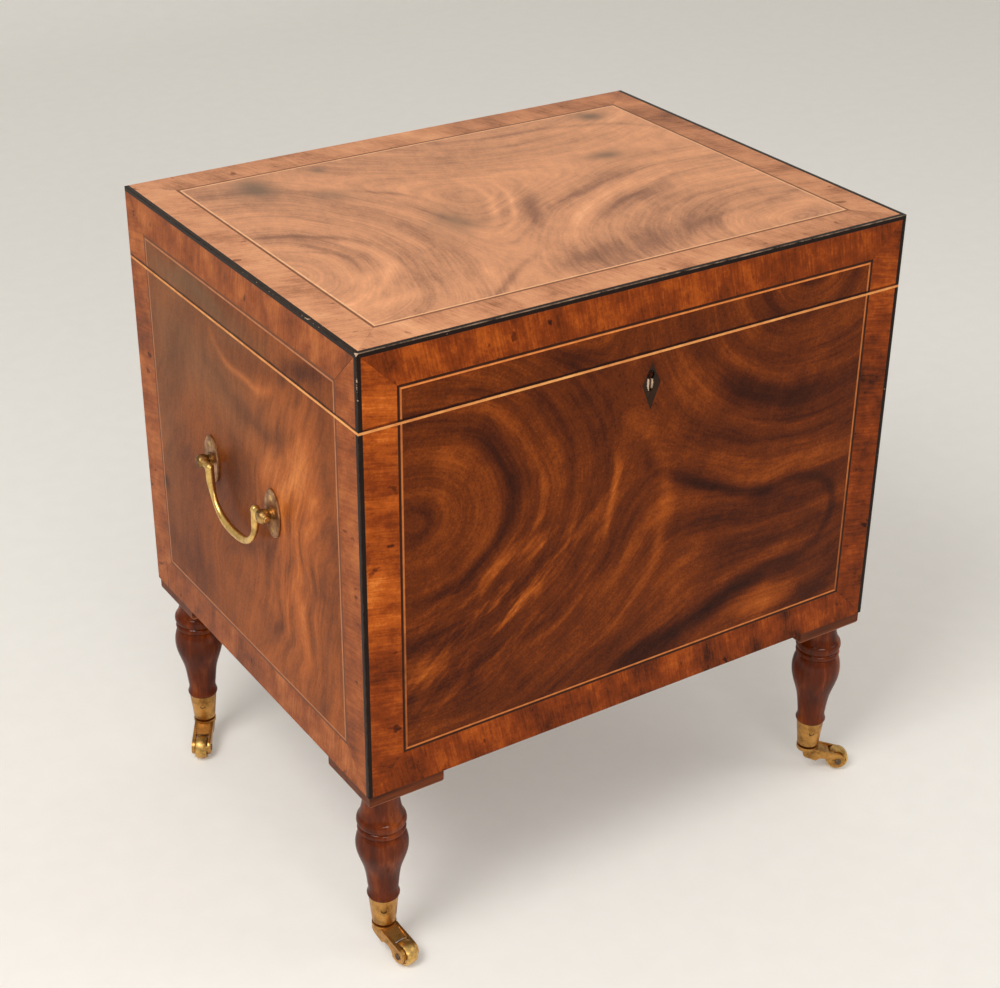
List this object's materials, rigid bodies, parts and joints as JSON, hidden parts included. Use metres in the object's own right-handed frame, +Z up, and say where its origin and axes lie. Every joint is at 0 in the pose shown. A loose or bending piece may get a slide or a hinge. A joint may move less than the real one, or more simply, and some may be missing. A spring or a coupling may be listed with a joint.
{
  "type": "antique cellarette",
  "caption": "Lidded mahogany wine chest on turned legs with brass castors, side bail handles, a box lock and bottle partitions.",
  "frame": {"origin": "on the floor under the middle of the chest", "axes": "+X to the right seen from the front, +Y from the front to the back, +Z up"},
  "size_m": [0.508, 0.3968, 0.5245],
  "materials": {
    "mahogany_board": "old oiled mahogany board",
    "flame_veneer": "french polished flame mahogany veneer",
    "crossbanding": "french polished crossbanding",
    "stringing": "ebony and boxwood line",
    "ebony": "polished ebonised string",
    "turned_mahogany": "polished turned mahogany",
    "partition_wood": "plain planed mahogany",
    "brass": "worn lacquered brass",
    "iron": "worn wrought iron and steel"
  },
  "bodies": {
    "carcass": {"front_board": "mahogany_board", "back_board": "mahogany_board", "left_side_board": "mahogany_board", "right_side_board": "mahogany_board", "bottom_board": "mahogany_board", "front_veneer": "flame_veneer", "side_veneers": "flame_veneer", "carcass_crossbands": "crossbanding", "carcass_stringing": "stringing", "carcass_edge_strings": "ebony", "rim_lines": "stringing", "escutcheon": "ebony", "lock_case": "brass", "hinge_case_leaves": "brass", "hinge_pins": "iron", "handle_plates": "brass", "handle_posts": "brass", "handle_nuts": "brass", "long_partitions": "partition_wood", "cross_partitions": "partition_wood", "corner_blocks": "turned_mahogany", "cup_screws": "brass", "case_screws": "brass", "front_left_leg": "turned_mahogany", "front_left_castor_cup": "brass", "front_right_leg": "turned_mahogany", "front_right_castor_cup": "brass", "back_left_leg": "turned_mahogany", "back_left_castor_cup": "brass", "back_right_leg": "turned_mahogany", "back_right_castor_cup": "brass"},
    "lid": {"lid_front_board": "mahogany_board", "lid_back_board": "mahogany_board", "lid_side_boards": "mahogany_board", "lid_top_board": "mahogany_board", "lid_front_veneer": "flame_veneer", "lid_side_veneers": "flame_veneer", "lid_top_veneer": "flame_veneer", "lid_stringing": "stringing", "lid_crossbands": "crossbanding", "lid_edge_strings": "ebony", "lock_link_plate": "brass", "hinge_lid_leaves": "brass", "lid_screws": "brass"},
    "lock_bolt": {"lock_bolt": "iron"},
    "left_bail": {"left_bail": "brass"},
    "right_bail": {"right_bail": "brass"},
    "front_left_castor": {"front_left_castor_horn": "brass", "front_left_castor_axle": "iron"},
    "front_left_wheel": {"front_left_castor_wheel": "brass"},
    "front_right_castor": {"front_right_castor_horn": "brass", "front_right_castor_axle": "iron"},
    "front_right_wheel": {"front_right_castor_wheel": "brass"},
    "back_left_castor": {"back_left_castor_horn": "brass", "back_left_castor_axle": "iron"},
    "back_left_wheel": {"back_left_castor_wheel": "brass"},
    "back_right_castor": {"back_right_castor_horn": "brass", "back_right_castor_axle": "iron"},
    "back_right_wheel": {"back_right_castor_wheel": "brass"}
  },
  "joints": [
    {"name": "lid_hinge", "type": "hinge", "parent": "carcass", "child": "lid", "pos_m": [0, 0.1878, 0.46715], "axis": [-1, 0, 0], "range_deg": [0, 100]},
    {"name": "lock_bolt_slide", "type": "slide", "parent": "carcass", "child": "lock_bolt", "axis": [1, 0, 0], "range_m": [0, 0.006]},
    {"name": "left_bail_swing", "type": "hinge", "parent": "carcass", "child": "left_bail", "pos_m": [-0.249, 0, 0.3436], "axis": [0, 1, 0], "range_deg": [-5, 175]},
    {"name": "right_bail_swing", "type": "hinge", "parent": "carcass", "child": "right_bail", "pos_m": [0.249, 0, 0.3436], "axis": [0, -1, 0], "range_deg": [-5, 175]},
    {"name": "front_left_swivel", "type": "hinge", "parent": "carcass", "child": "front_left_castor", "pos_m": [-0.217, -0.1615, 0.025], "axis": [0, 0, 1], "continuous": true},
    {"name": "front_left_wheel_spin", "type": "hinge", "parent": "front_left_castor", "child": "front_left_wheel", "pos_m": [-0.21324, -0.18824, 0.01], "axis": [0.9903, 0.1392, 0], "continuous": true},
    {"name": "front_right_swivel", "type": "hinge", "parent": "carcass", "child": "front_right_castor", "pos_m": [0.217, -0.1615, 0.025], "axis": [0, 0, 1], "continuous": true},
    {"name": "front_right_wheel_spin", "type": "hinge", "parent": "front_right_castor", "child": "front_right_wheel", "pos_m": [0.2399, -0.17581, 0.01], "axis": [0.5299, 0.848, 0], "continuous": true},
    {"name": "back_left_swivel", "type": "hinge", "parent": "carcass", "child": "back_left_castor", "pos_m": [-0.217, 0.1615, 0.025], "axis": [0, 0, 1], "continuous": true},
    {"name": "back_left_wheel_spin", "type": "hinge", "parent": "back_left_castor", "child": "back_left_wheel", "pos_m": [-0.2317, 0.13886, 0.01], "axis": [0.8387, -0.5446, 0], "continuous": true},
    {"name": "back_right_swivel", "type": "hinge", "parent": "carcass", "child": "back_right_castor", "pos_m": [0.217, 0.1615, 0.025], "axis": [0, 0, 1], "continuous": true},
    {"name": "back_right_wheel_spin", "type": "hinge", "parent": "back_right_castor", "child": "back_right_wheel", "pos_m": [0.217, 0.1885, 0.01], "axis": [-1, 0, 0], "continuous": true}
  ]
}
